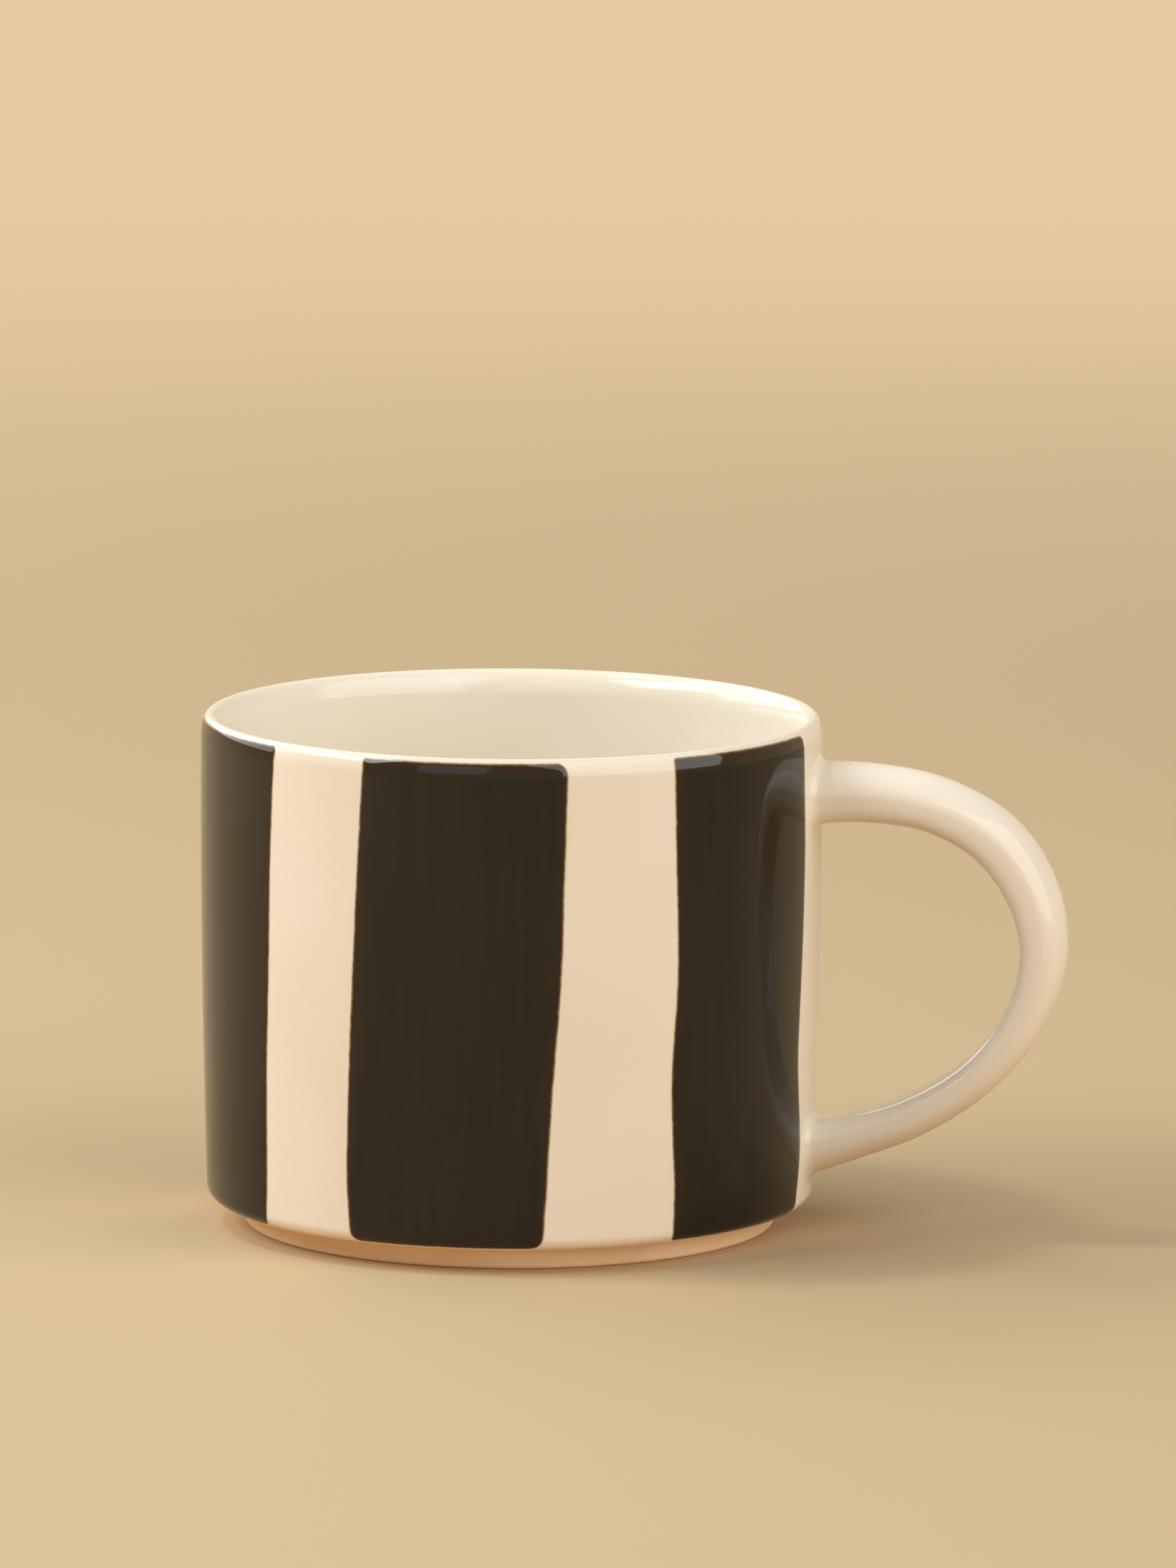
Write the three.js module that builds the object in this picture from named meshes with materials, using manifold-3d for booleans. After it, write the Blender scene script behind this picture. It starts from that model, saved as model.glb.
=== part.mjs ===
// A straight-sided ceramic mug with a loop handle, a stepped-in foot ring and six painted bands.
// Millimetres, +Z up. The mug stands on z = 0, the handle points along +X, and the origin is the
// middle of the mug's footprint, handle included. The cup's own axis is therefore off the origin.
import * as THREE from "three";
import { mergeVertices } from "three/addons/utils/BufferGeometryUtils.js";
import Module from "manifold-3d";

// Cup
const CUP_RADIUS = 48; // widest outer radius
const WIDEST_AT = 67; // height of the widest ring
const WALL_BOW = 2.7e-4; // how fast the wall draws in away from that ring, per mm
const CUP_HEIGHT = 79.4;
const WALL = 3.2; // wall thickness at the lip
const LIP_RISE = 2; // height of the rounded lip above the straight wall
const CORNER_WIDE = 2.4; // rounded lower corner, across
const CORNER_TALL = 2.2; // and up
const BODY_BOTTOM = 3.7; // underside of the cup, above the table
const FLOOR_TOP = 8.8; // inside floor at its middle
const FLOOR_FILLET = 7; // inside radius between the floor and the wall
const INNER_DRAFT = 0.9; // how much thicker the wall is at its base
const RECESS_TOP = 4.9; // underside of the floor inside the foot ring
const RECESS_RADIUS = 34.6;
const RECESS_TAPER = 1; // how much narrower the recess is at its top

// Foot ring
const FOOT_OUTER = 41.1;
const FOOT_INNER = 35.6;
const FOOT_BEVEL = 0.7; // softened edges where it meets the table

// Handle: its centre line, as distance from the cup's axis and height
const HANDLE_ROUTE = [
  [43, 68.1],
  [55, 68.8],
  [66.5, 67.1],
  [75.6, 62.1],
  [81.4, 53.8],
  [83.15, 44.6],
  [80.3, 34.4],
  [73.5, 25.4],
  [63.5, 18.7],
  [54, 15.2],
  [43, 11.9],
];
// Its section at fractions of that line: thickness in the plane of the loop, and width across it
const HANDLE_SECTIONS = [
  { at: 0, thick: 9.6, wide: 14.6 },
  { at: 0.2, thick: 8.5, wide: 12.8 },
  { at: 0.36, thick: 8.4, wide: 12.2 },
  { at: 0.5, thick: 7.2, wide: 11.8 },
  { at: 0.68, thick: 6.2, wide: 11.4 },
  { at: 0.82, thick: 6.7, wide: 11.6 },
  { at: 1, thick: 8.6, wide: 12.8 },
];
const OUTER_ROUNDNESS = 2; // exponent of the section's outer half: an ellipse
const INNER_ROUNDNESS = 2.7; // the inner half is flatter, for the fingers
const HANDLE_REACH = 86.79; // furthest point of the handle from the cup's axis

// Luting clay round each root of the handle
const JOINT_LENGTH = 2.8; // how far it runs out along the handle
const JOINT_FLARE = 1.5; // how far it spreads over the wall
const JOINT_LIP = 0.4; // how thick it still is at its outer end
const JOINT_GAP = 0.1; // between the luting clay and the handle

// Painted bands: bearing of the middle from +X, width and lean (foot to lip), all in degrees
const BANDS = [
  { name: "stripe_front_left", bearing: -150.6, width: 38.6, lean: 3 },
  { name: "stripe_front", bearing: -91.1, width: 38.2, lean: 3.2 },
  { name: "stripe_front_right", bearing: -29.9, width: 38.2, lean: -0.9 },
  { name: "stripe_back_right", bearing: 30.2, width: 38, lean: 1.5 },
  { name: "stripe_back", bearing: 90.6, width: 38.6, lean: 2.4 },
  { name: "stripe_back_left", bearing: 149.2, width: 37.8, lean: -1.4 },
];
const BAND_CORNER = 2.2; // rounded corners of a band
const BARE_RINGS = 2; // rings of the outline left bare below and above a band
const BAND_GAP = 0.1; // between the wall and the paint
const BAND_THICK = 0.2;

// Fineness of the solids
const TURNS = 64; // facets round the cup
const LIP_STEPS = 6;
const CORNER_STEPS = 5;
const WALL_STEPS = 7;
const FILLET_STEPS = 5;
const BAND_STEPS = 8; // facets across a band
const HANDLE_AROUND = 20;
const HANDLE_ALONG = 40;
const JOINT_ALONG = 8;
const SEARCH_STEP = 1e-3; // of the handle's line, when looking for a root
const WELD_DISTANCE = 1e-4; // corners closer than this are one corner

const FIT_GAP = 0.3; // clearance between neighbouring solids
const CUP_AXIS_X = (CUP_RADIUS - HANDLE_REACH) / 2;

const wasm = await Module();
wasm.setup();

const cream = new THREE.MeshStandardMaterial({ color: 0xe6d7bb, roughness: 0.3, metalness: 0 });
const bareClay = new THREE.MeshStandardMaterial({ color: 0xecd4b4, roughness: 0.85, metalness: 0 });
const darkSlip = new THREE.MeshStandardMaterial({ color: 0x150d08, roughness: 0.18, metalness: 0 });

// Outer radius of the wall at a height.
function wallRadius(z) {
  return CUP_RADIUS - WALL_BOW * (z - WIDEST_AT) ** 2;
}

// Point on an ellipse's arc, for rounded edges.
function arcPoint(centreX, centreY, radiusX, radiusY, angle) {
  return new THREE.Vector2(centreX + radiusX * Math.cos(angle), centreY + radiusY * Math.sin(angle));
}

// The cup's outside from the lower corner to the top of the lip.
function outerProfile() {
  const points = [];
  const cornerTop = BODY_BOTTOM + CORNER_TALL;
  const cornerX = wallRadius(cornerTop) - CORNER_WIDE;
  for (let i = 0; i < CORNER_STEPS; i++) {
    const angle = ((i / CORNER_STEPS - 1) * Math.PI) / 2;
    points.push(arcPoint(cornerX, cornerTop, CORNER_WIDE, CORNER_TALL, angle));
  }
  const lipBase = CUP_HEIGHT - LIP_RISE;
  for (let i = 0; i < WALL_STEPS; i++) {
    const z = THREE.MathUtils.lerp(cornerTop, lipBase, i / WALL_STEPS);
    points.push(new THREE.Vector2(wallRadius(z), z));
  }
  const lipX = wallRadius(lipBase) - WALL / 2;
  for (let i = 0; i <= LIP_STEPS / 2; i++) {
    points.push(arcPoint(lipX, lipBase, WALL / 2, LIP_RISE, (i * Math.PI) / LIP_STEPS));
  }
  return points;
}

// The cup's inside from the lip down to the middle of the floor.
function innerProfile() {
  const points = [];
  const lipBase = CUP_HEIGHT - LIP_RISE;
  const lipX = wallRadius(lipBase) - WALL / 2;
  for (let i = LIP_STEPS / 2 + 1; i <= LIP_STEPS; i++) {
    points.push(arcPoint(lipX, lipBase, WALL / 2, LIP_RISE, (i * Math.PI) / LIP_STEPS));
  }
  const filletTop = FLOOR_TOP + FLOOR_FILLET;
  for (let i = 1; i < WALL_STEPS; i++) {
    points.push(innerWallPoint(THREE.MathUtils.lerp(lipBase, filletTop, i / WALL_STEPS)));
  }
  const filletX = innerWallPoint(filletTop).x - FLOOR_FILLET;
  for (let i = 0; i <= FILLET_STEPS; i++) {
    const angle = -(i * Math.PI) / 2 / FILLET_STEPS;
    points.push(arcPoint(filletX, filletTop, FLOOR_FILLET, FLOOR_FILLET, angle));
  }
  points.push(new THREE.Vector2(0, FLOOR_TOP));
  return points;
}

// The wall thickens evenly from the lip to the floor.
function innerWallPoint(z) {
  const depth = (CUP_HEIGHT - LIP_RISE - z) / (CUP_HEIGHT - LIP_RISE);
  return new THREE.Vector2(wallRadius(z) - WALL - INNER_DRAFT * depth, z);
}

// A solid of revolution about the cup's axis. The profile runs from the axis round to the axis.
function turned(profile) {
  const geometry = new THREE.LatheGeometry(profile, TURNS);
  return geometry.rotateX(Math.PI / 2);
}

// Keeps only merged positions, so that the faces share their corners.
function welded(geometry) {
  const bare = geometry.clone();
  bare.deleteAttribute("normal");
  bare.deleteAttribute("uv");
  return mergeVertices(bare, WELD_DISTANCE);
}

function toSolid(geometry) {
  const mesh = welded(geometry);
  return new wasm.Manifold(
    new wasm.Mesh({
      numProp: 3,
      vertProperties: mesh.attributes.position.array,
      triVerts: new Uint32Array(mesh.index.array),
    }),
  );
}

function toGeometry(solid) {
  const mesh = solid.getMesh();
  const geometry = new THREE.BufferGeometry();
  geometry.setAttribute("position", new THREE.BufferAttribute(mesh.vertProperties, 3));
  geometry.setIndex(new THREE.BufferAttribute(mesh.triVerts, 1));
  return geometry;
}

// The cup's wall and floor in one turned piece.
function cupBody() {
  const underside = [
    new THREE.Vector2(0, RECESS_TOP),
    new THREE.Vector2(RECESS_RADIUS - RECESS_TAPER, RECESS_TOP),
    new THREE.Vector2(RECESS_RADIUS, BODY_BOTTOM),
  ];
  return turned([...underside, ...outerProfile(), ...innerProfile()]);
}

// The ring under the cup, with its top just clear of the cup's underside.
function footRing() {
  const top = BODY_BOTTOM - FIT_GAP;
  const outline = [
    [FOOT_INNER, top],
    [FOOT_INNER, FOOT_BEVEL],
    [FOOT_INNER + FOOT_BEVEL, 0],
    [FOOT_OUTER - FOOT_BEVEL / 2, 0],
    [FOOT_OUTER, FOOT_BEVEL],
    [FOOT_OUTER, top],
    [FOOT_INNER, top],
  ];
  return turned(outline.map(([x, z]) => new THREE.Vector2(x, z)));
}

// Everything inside the cup's outline grown by a clearance, for trimming what is stuck to the wall.
function wallTrim(clearance) {
  const lip = outerProfile().at(-1);
  const grown = outerProfile().map((p) => new THREE.Vector2(p.x + clearance, p.y));
  return toSolid(turned([new THREE.Vector2(0, BODY_BOTTOM), ...grown, new THREE.Vector2(0, lip.y)]));
}

function handleCurve() {
  return new THREE.CatmullRomCurve3(
    HANDLE_ROUTE.map(([x, z]) => new THREE.Vector3(x, 0, z)),
    false,
    "centripetal",
  );
}

// Thickness and width of the handle at a fraction of its length.
function handleSection(at) {
  const next = HANDLE_SECTIONS.findIndex((s) => s.at >= at);
  if (next <= 0) return HANDLE_SECTIONS[0];
  const [a, b] = [HANDLE_SECTIONS[next - 1], HANDLE_SECTIONS[next]];
  const mix = THREE.MathUtils.smoothstep(at, a.at, b.at);
  return {
    thick: THREE.MathUtils.lerp(a.thick, b.thick, mix),
    wide: THREE.MathUtils.lerp(a.wide, b.wide, mix),
  };
}

function signedPower(value, exponent) {
  return Math.sign(value) * Math.abs(value) ** exponent;
}

// A closed cylinder bent along the handle's line from one fraction to another, with its section
// grown by grow(fraction).
function sweptHandle(from, to, steps, grow) {
  const curve = handleCurve();
  const geometry = new THREE.CylinderGeometry(1, 1, 1, HANDLE_AROUND, steps);
  const position = geometry.attributes.position;
  const point = new THREE.Vector3();
  for (let i = 0; i < position.count; i++) {
    point.fromBufferAttribute(position, i);
    const at = THREE.MathUtils.lerp(from, to, 0.5 - point.y);
    const centre = curve.getPointAt(at);
    const tangent = curve.getTangentAt(at);
    const outward = new THREE.Vector3(-tangent.z, 0, tangent.x);
    const section = handleSection(at);
    const power = 2 / (point.x > 0 ? OUTER_ROUNDNESS : INNER_ROUNDNESS);
    const rise = signedPower(point.x, power) * (section.thick / 2 + grow(at));
    const side = signedPower(point.z, power) * (section.wide / 2 + grow(at));
    centre.addScaledVector(outward, rise);
    position.setXYZ(i, centre.x, -side, centre.z);
  }
  return geometry;
}

function handle() {
  const loop = toSolid(sweptHandle(0, 1, HANDLE_ALONG, () => 0));
  return toGeometry(loop.subtract(wallTrim(FIT_GAP)));
}

// Fraction of the handle's line where it comes out of the wall, searched from one of its ends.
function rootFraction(end) {
  const curve = handleCurve();
  const step = end === 0 ? SEARCH_STEP : -SEARCH_STEP;
  let at = end;
  while (curve.getPointAt(at).x < wallRadius(curve.getPointAt(at).z)) at += step;
  return at;
}

// A collar of luting clay round one root: widest on the wall and fading out along the handle.
function handleJoint(end) {
  const length = handleCurve().getLength();
  const root = rootFraction(end);
  const outer = root + ((end === 0 ? 1 : -1) * JOINT_LENGTH) / length;
  const flare = (at) => {
    const left = THREE.MathUtils.clamp((outer - at) / (outer - root), 0, 1);
    return JOINT_LIP + (JOINT_FLARE - JOINT_LIP) * left ** 2;
  };
  const [from, to] = [Math.min(end, outer), Math.max(end, outer)];
  const collar = toSolid(sweptHandle(from, to, JOINT_ALONG, flare));
  const hole = toSolid(sweptHandle(0, 1, HANDLE_ALONG, () => JOINT_GAP));
  return toGeometry(collar.subtract(hole).subtract(wallTrim(FIT_GAP)));
}

// Outward direction of the profile at a point, from its neighbours.
function profileNormal(points, i) {
  const along = points[Math.min(i + 1, points.length - 1)].clone().sub(points[Math.max(i - 1, 0)]);
  return new THREE.Vector2(along.y, -along.x).normalize();
}

// A band of paint: a thin slab wrapped on the wall, from the lower corner to the lip.
function band({ bearing, width, lean }) {
  const profile = outerProfile();
  const first = BARE_RINGS;
  const last = profile.length - 1 - BARE_RINGS;
  const rows = last - first;
  const geometry = new THREE.BoxGeometry(1, 1, 1, BAND_STEPS, rows, 1);
  const position = geometry.attributes.position;
  for (let i = 0; i < position.count; i++) {
    const row = Math.round((position.getY(i) + 0.5) * rows);
    const place = profile[first + row];
    const height = (place.y - BODY_BOTTOM) / (CUP_HEIGHT - BODY_BOTTOM);
    const toEnd = Math.min(place.y - profile[first].y, profile[last].y - place.y, BAND_CORNER);
    const pull = BAND_CORNER - Math.sqrt(BAND_CORNER ** 2 - (BAND_CORNER - toEnd) ** 2);
    const halfWidth = THREE.MathUtils.degToRad(width / 2) - pull / CUP_RADIUS;
    const middle = THREE.MathUtils.degToRad(bearing + lean * (height - 0.5));
    const angle = middle + 2 * position.getX(i) * halfWidth;
    const lift = BAND_GAP + (position.getZ(i) > 0 ? BAND_THICK : 0);
    const out = place.clone().addScaledVector(profileNormal(profile, first + row), lift);
    position.setXYZ(i, out.x * Math.cos(angle), out.x * Math.sin(angle), out.y);
  }
  return welded(geometry);
}

const mug = new THREE.Group();
mug.position.x = CUP_AXIS_X;

function add(name, geometry, material) {
  const mesh = new THREE.Mesh(geometry, material);
  mesh.name = name;
  mug.add(mesh);
}

add("cup_body", cupBody(), cream);
add("foot_ring", footRing(), bareClay);
add("handle", handle(), cream);
add("handle_joint_upper", handleJoint(0), cream);
add("handle_joint_lower", handleJoint(1), cream);
BANDS.forEach((shape) => add(shape.name, band(shape), darkSlip));

export default mug;
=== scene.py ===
"""Looks of a straight-sided stoneware mug with six brushed bands and a loop handle.

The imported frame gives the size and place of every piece. Each class below makes one
sub-assembly round it: the turned cup and foot ring, the pulled handle, the painted bands, and
the studio they stand in. Sizes are in millimetres until a mesh is made, where they become
metres. Bearings are in degrees round the cup's axis, counted from the handle.
"""

import logging
import math
from dataclasses import dataclass, field
from enum import Enum

import bmesh
import bpy
import numpy as np
from mathutils import Matrix, Vector

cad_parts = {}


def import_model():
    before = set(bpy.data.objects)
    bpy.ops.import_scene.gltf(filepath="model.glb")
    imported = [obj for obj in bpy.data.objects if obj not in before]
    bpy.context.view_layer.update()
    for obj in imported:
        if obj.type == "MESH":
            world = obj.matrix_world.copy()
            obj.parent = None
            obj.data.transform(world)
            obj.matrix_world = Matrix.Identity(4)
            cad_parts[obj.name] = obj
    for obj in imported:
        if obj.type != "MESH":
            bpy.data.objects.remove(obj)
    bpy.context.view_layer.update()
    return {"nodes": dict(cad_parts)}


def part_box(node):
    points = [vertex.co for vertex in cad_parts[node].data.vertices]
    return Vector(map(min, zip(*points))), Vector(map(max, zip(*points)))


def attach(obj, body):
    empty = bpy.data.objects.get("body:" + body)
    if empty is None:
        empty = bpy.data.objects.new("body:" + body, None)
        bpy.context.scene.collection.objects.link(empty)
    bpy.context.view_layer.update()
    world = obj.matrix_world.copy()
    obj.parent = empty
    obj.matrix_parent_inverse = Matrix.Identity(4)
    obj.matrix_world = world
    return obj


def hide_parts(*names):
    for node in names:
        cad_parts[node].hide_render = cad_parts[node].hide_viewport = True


LOG = logging.getLogger("mug")
MM = 0.001
SEAM_WELD = 1e-6  # metres: where a turned piece meets itself
SKIN_WELD = 2e-7  # metres: where a band's two skins meet
POOLING_OVER_RIPPLE = 2.5  # height of a glaze's slow swells over that of its ripple
POOLING_SHADES = (0.3, 0.7)
SMALLEST_SPECK = 0.3  # of the full radius
HAIR_SHARE = 0.45  # of a brush's streaks that are fine
HAIRS_PER_STREAK = 5.0
STREAK_SHADES = (0.33, 0.67)
EVEN_SHARE = 0.35  # how evenly points are spread across a band; the rest crowds its edges
BODY = "root"
BAKE_UV = "OFBake"
Colour = tuple[float, float, float]


class Slot(Enum):
    """Material slots of the record."""

    CREAM = "cream_glaze"
    CLAY = "bare_clay"
    SLIP = "dark_slip"


def linear(colour: Colour) -> tuple[float, float, float, float]:
    """Turns a display colour into the scene's linear one.

    Args:
        colour: Red, green and blue as a screen shows them, each from 0 to 255.

    Returns:
        Linear red, green and blue, and full alpha.
    """
    parts = []
    for value in colour:
        share = value / 255
        parts.append(share / 12.92 if share <= 0.04045 else ((share + 0.055) / 1.055) ** 2.4)
    return (*parts, 1.0)


def smooth_through(stations: list[float], values: list[float], at: np.ndarray) -> np.ndarray:
    """Reads a smooth line through a few given points.

    Args:
        stations: Rising places of the points.
        values: The line's value at each of them.
        at: Places where it is wanted.

    Returns:
        The value at each place, held level past both ends.
    """
    x, y = np.array(stations, float), np.array(values, float)
    slopes = np.gradient(y, x)
    at = np.clip(at, x[0], x[-1])
    k = np.clip(np.searchsorted(x, at) - 1, 0, len(x) - 2)
    span = x[k + 1] - x[k]
    t = (at - x[k]) / span
    rise = y[k + 1] - y[k]
    a = slopes[k] * span - rise
    b = rise - slopes[k + 1] * span
    return (1 - t) * y[k] + t * y[k + 1] + t * (1 - t) * (a * (1 - t) + b * t)


def travelled(points: np.ndarray) -> np.ndarray:
    """Gives how far along a line each of its points is."""
    steps = np.linalg.norm(np.diff(points, axis=0), axis=1)
    return np.concatenate(([0.0], np.cumsum(steps)))


class Board:
    """Adds nodes to one tree and joins them."""

    def __init__(self, tree: bpy.types.NodeTree) -> None:
        """Keeps the tree that the nodes go on."""
        self.tree = tree

    def feed(self, socket: bpy.types.NodeSocket, value: object) -> None:
        """Joins an output to a socket, or sets the socket's own value.

        Args:
            socket: The input to fill.
            value: An output socket of another node, or a plain value.
        """
        if isinstance(value, bpy.types.NodeSocket):
            self.tree.links.new(value, socket)
        else:
            socket.default_value = value

    def add(self, kind: str, inputs: dict | None = None, **settings: object) -> bpy.types.Node:
        """Adds one node.

        Args:
            kind: The node's type name.
            inputs: Values or output sockets, by the input's name or number.
            **settings: Properties of the node, such as its operation.

        Returns:
            The new node.
        """
        node = self.tree.nodes.new(kind)
        for name, value in settings.items():
            setattr(node, name, value)
        for key, value in (inputs or {}).items():
            self.feed(node.inputs[key], value)
        return node

    def math(self, operation: str, *values: object, clamp: bool = False) -> bpy.types.NodeSocket:
        """Adds a Math node.

        Args:
            operation: What it does to its values.
            *values: Its inputs, in order.
            clamp: Whether the result is held between 0 and 1.

        Returns:
            The result's socket.
        """
        return self.add(
            "ShaderNodeMath", dict(enumerate(values)), operation=operation, use_clamp=clamp
        ).outputs[0]

    def vector(self, x: object, y: object, z: object) -> bpy.types.NodeSocket:
        """Puts three numbers together as a vector's socket."""
        return self.add("ShaderNodeCombineXYZ", {"X": x, "Y": y, "Z": z}).outputs[0]

    def ramp_between(self, value: object, low: float, high: float) -> bpy.types.NodeSocket:
        """Adds a smooth step.

        Args:
            value: What is read.
            low: Where the step starts, as 0.
            high: Where it ends, as 1.

        Returns:
            The step's socket.
        """
        node = self.add(
            "ShaderNodeMapRange",
            {"Value": value, "From Min": low, "From Max": high},
            interpolation_type="SMOOTHSTEP",
        )
        return node.outputs["Result"]

    def blend(self, share: object, first: object, second: object) -> bpy.types.NodeSocket:
        """Mixes two colours.

        Args:
            share: How much of the second one.
            first: Colour or socket.
            second: Colour or socket.

        Returns:
            The mixed colour's socket.
        """
        node = self.tree.nodes.new("ShaderNodeMix")
        node.data_type = "RGBA"
        colours = [s for s in node.inputs if s.type == "RGBA"]
        self.feed(node.inputs["Factor"], share)
        self.feed(colours[0], first)
        self.feed(colours[1], second)
        return next(s for s in node.outputs if s.type == "RGBA")

    def noise(self, place: object, scale: object, detail: float) -> bpy.types.NodeSocket:
        """Adds a noise pattern.

        Args:
            place: Where it is read.
            scale: Its cells per unit of place.
            detail: How many finer layers it has.

        Returns:
            The pattern, about 0.5 on average.
        """
        texture = self.add("ShaderNodeTexNoise", {"Vector": place, "Scale": scale, "Detail": detail})
        return texture.outputs["Fac"]

    def store(
        self,
        geometry: bpy.types.NodeSocket,
        name: str,
        value: bpy.types.NodeSocket,
        kind: str,
        domain: str = "POINT",
    ) -> bpy.types.NodeSocket:
        """Writes a named attribute.

        Args:
            geometry: What carries the attribute.
            name: The attribute's name.
            value: Its value.
            kind: Its data type.
            domain: Points or corners.

        Returns:
            The geometry with the attribute on it.
        """
        written = {"Geometry": geometry, "Name": name, "Value": value}
        node = self.add("GeometryNodeStoreNamedAttribute", written, data_type=kind, domain=domain)
        return node.outputs["Geometry"]

    def dress(
        self, geometry: bpy.types.NodeSocket, finish: bpy.types.NodeSocket
    ) -> bpy.types.NodeSocket:
        """Makes instances real and puts the finish on.

        Args:
            geometry: The piece.
            finish: Its material.

        Returns:
            The dressed piece.
        """
        real = self.add("GeometryNodeRealizeInstances", {"Geometry": geometry}).outputs["Geometry"]
        dressed = self.add("GeometryNodeSetMaterial", {"Geometry": real, "Material": finish})
        return dressed.outputs["Geometry"]


def new_group(
    name: str, kind: str, inputs: dict[str, tuple[str, object]], outputs: dict[str, str]
) -> Board:
    """Starts a node group with named sockets.

    Args:
        name: The group's name.
        kind: ShaderNodeTree or GeometryNodeTree.
        inputs: Socket type and default value by name; a default of None is left as it is.
        outputs: Socket type by name.

    Returns:
        A board on the new group, with its input and output nodes on it.
    """
    tree = bpy.data.node_groups.new(name, kind)
    for label, (socket_type, value) in inputs.items():
        socket = tree.interface.new_socket(name=label, in_out="INPUT", socket_type=socket_type)
        if value is not None:
            socket.default_value = value
    for label, socket_type in outputs.items():
        tree.interface.new_socket(name=label, in_out="OUTPUT", socket_type=socket_type)
    tree.nodes.new("NodeGroupInput")
    tree.nodes.new("NodeGroupOutput")
    return Board(tree)


def ends_of(board: Board) -> tuple[bpy.types.Node, bpy.types.Node]:
    """Finds a group's input node and output node."""
    found = {node.bl_idname: node for node in board.tree.nodes}
    return found["NodeGroupInput"], found["NodeGroupOutput"]


class Effects:
    """Shader node groups that several finishes share, each made once."""

    def __init__(self) -> None:
        """Builds the groups."""
        self.peel = self._peel()
        self.specks = self._specks()
        self.brushed = self._brushed()

    def _peel(self) -> bpy.types.NodeTree:
        """Makes the soft unevenness of a poured glaze.

        Returns:
            A group that gives a surface height and a slow shade from 0 to 1.
        """
        board = new_group(
            "glaze peel",
            "ShaderNodeTree",
            {
                "Place": ("NodeSocketVector", None),
                "Ripple per metre": ("NodeSocketFloat", 160.0),
                "Pooling per metre": ("NodeSocketFloat", 22.0),
            },
            {"Height": "NodeSocketFloat", "Shade": "NodeSocketFloat"},
        )
        start, end = ends_of(board)
        place = start.outputs["Place"]
        ripple = board.noise(place, start.outputs["Ripple per metre"], 1.5)
        pooling = board.noise(place, start.outputs["Pooling per metre"], 2.0)
        slow = board.math("MULTIPLY", pooling, POOLING_OVER_RIPPLE)
        board.feed(end.inputs["Height"], board.math("ADD", ripple, slow))
        board.feed(end.inputs["Shade"], board.ramp_between(pooling, *POOLING_SHADES))
        return board.tree

    def _specks(self) -> bpy.types.NodeTree:
        """Makes sparse round specks, such as pinholes or grains of iron.

        Returns:
            A group that gives a mask, 1 in the middle of a speck.
        """
        board = new_group(
            "sparse specks",
            "ShaderNodeTree",
            {
                "Place": ("NodeSocketVector", None),
                "Cells per metre": ("NodeSocketFloat", 400.0),
                "Radius": ("NodeSocketFloat", 0.06),
                "Share": ("NodeSocketFloat", 0.1),
            },
            {"Mask": "NodeSocketFloat"},
        )
        start, end = ends_of(board)
        cells = board.add(
            "ShaderNodeTexVoronoi",
            {"Vector": start.outputs["Place"], "Scale": start.outputs["Cells per metre"]},
        )
        dice = board.add("ShaderNodeSeparateColor", {"Color": cells.outputs["Color"]})
        kept = board.math("LESS_THAN", dice.outputs["Red"], start.outputs["Share"])
        size = board.math("MULTIPLY_ADD", dice.outputs["Green"], 1 - SMALLEST_SPECK, SMALLEST_SPECK)
        radius = board.math("MULTIPLY", size, start.outputs["Radius"])
        near = board.math("DIVIDE", cells.outputs["Distance"], radius)
        dot = board.math("SUBTRACT", 1.0, near, clamp=True)
        board.feed(end.inputs["Mask"], board.math("MULTIPLY", dot, kept))
        return board.tree

    def _brushed(self) -> bpy.types.NodeTree:
        """Makes the long soft streaks that a loaded brush leaves.

        Returns:
            A group that gives a thickness from 0, thin, to 1, full.
        """
        board = new_group(
            "brush streaks",
            "ShaderNodeTree",
            {
                "Lay": ("NodeSocketVector", None),
                "Streaks per mm": ("NodeSocketFloat", 0.5),
                "Stretch": ("NodeSocketFloat", 18.0),
            },
            {"Thickness": "NodeSocketFloat"},
        )
        start, end = ends_of(board)
        split = board.add("ShaderNodeSeparateXYZ", {"Vector": start.outputs["Lay"]})
        along = board.math("DIVIDE", split.outputs["Y"], start.outputs["Stretch"])
        drawn = board.vector(split.outputs["X"], along, split.outputs["Z"])
        streaks = start.outputs["Streaks per mm"]
        broad = board.math("MULTIPLY", board.noise(drawn, streaks, 1.0), 1 - HAIR_SHARE)
        hairs = board.noise(drawn, board.math("MULTIPLY", streaks, HAIRS_PER_STREAK), 2.0)
        both = board.math("MULTIPLY_ADD", hairs, HAIR_SHARE, broad)
        board.feed(end.inputs["Thickness"], board.ramp_between(both, *STREAK_SHADES))
        return board.tree


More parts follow.
